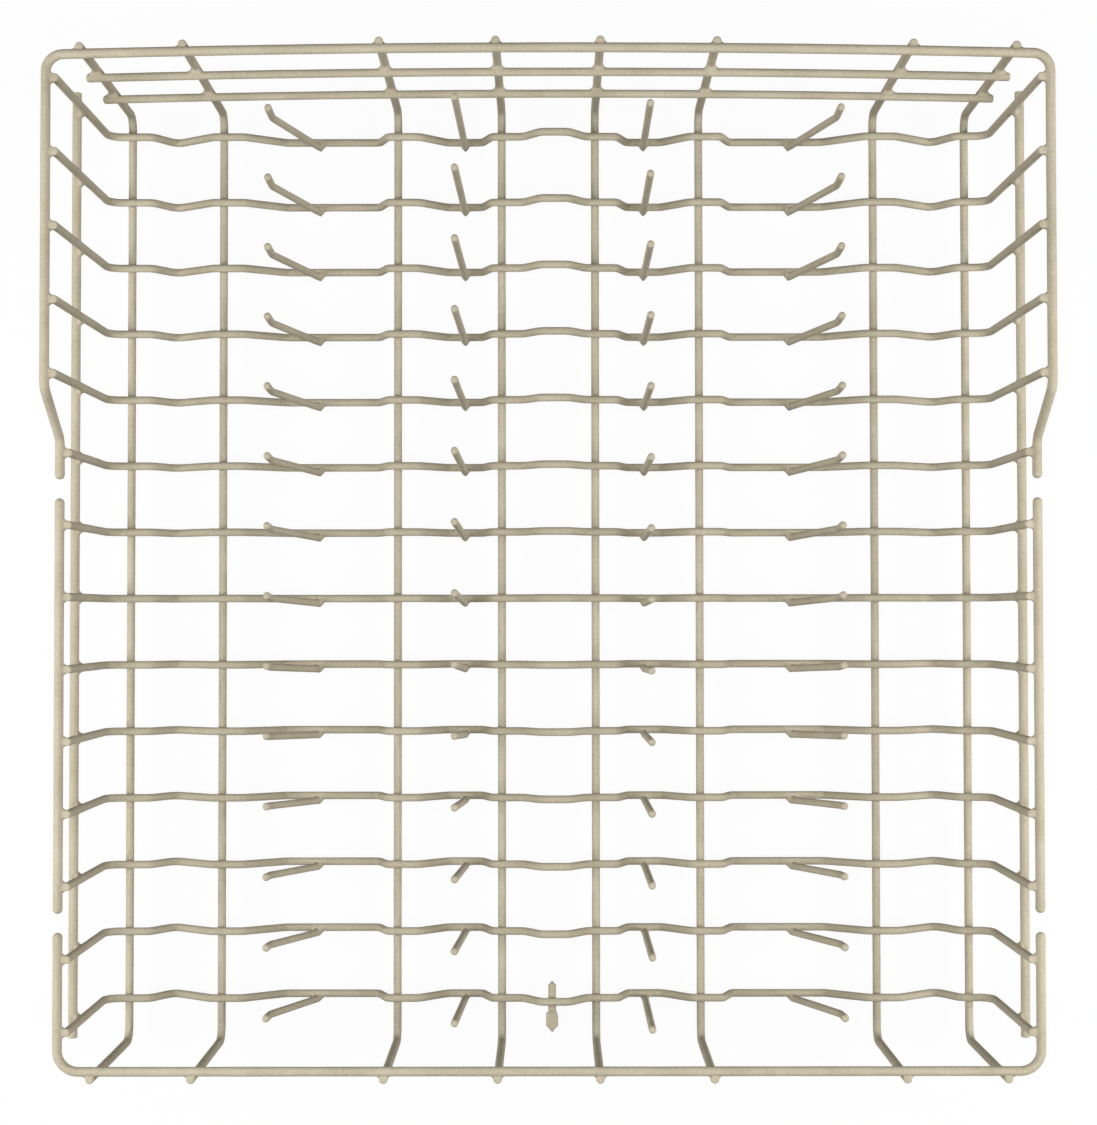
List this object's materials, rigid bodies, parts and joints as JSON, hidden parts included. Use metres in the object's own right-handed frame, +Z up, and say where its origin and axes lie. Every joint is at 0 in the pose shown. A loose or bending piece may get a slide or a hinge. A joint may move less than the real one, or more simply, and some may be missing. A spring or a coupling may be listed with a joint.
{
  "type": "dishwasher lower rack",
  "caption": "Open wire dishwasher basket with a formed floor, low front and high rear walls, stepped rim and rows of upright plate tines, in tan coated steel.",
  "frame": {"origin": "centre of the basket's plan, on the level that the tines' feet stand on", "axes": "+X to the right seen from the front, +Y from the low front wall to the high rear wall, +Z up"},
  "size_m": [0.5214, 0.5434, 0.1537],
  "materials": {
    "tan_coating": "satin"
  },
  "bodies": {
    "root": {"cross_wire_01": "tan_coating", "cross_wire_02": "tan_coating", "cross_wire_03": "tan_coating", "cross_wire_04": "tan_coating", "cross_wire_05": "tan_coating", "cross_wire_06": "tan_coating", "cross_wire_07": "tan_coating", "cross_wire_08": "tan_coating", "cross_wire_09": "tan_coating", "cross_wire_10": "tan_coating", "cross_wire_11": "tan_coating", "cross_wire_12": "tan_coating", "cross_wire_13": "tan_coating", "cross_wire_14": "tan_coating", "length_wire_1": "tan_coating", "length_wire_2": "tan_coating", "length_wire_3": "tan_coating", "length_wire_4": "tan_coating", "length_wire_5": "tan_coating", "length_wire_6": "tan_coating", "length_wire_7": "tan_coating", "length_wire_8": "tan_coating", "rear_rim": "tan_coating", "front_rim": "tan_coating", "left_side_rail": "tan_coating", "right_side_rail": "tan_coating", "left_lower_rail": "tan_coating", "right_lower_rail": "tan_coating", "rear_wall_wire_lower": "tan_coating", "rear_wall_wire_upper": "tan_coating", "outer_left_tines": "tan_coating", "inner_left_tines": "tan_coating", "inner_right_tines": "tan_coating", "outer_right_tines": "tan_coating", "front_tab": "tan_coating"}
  },
  "joints": []
}
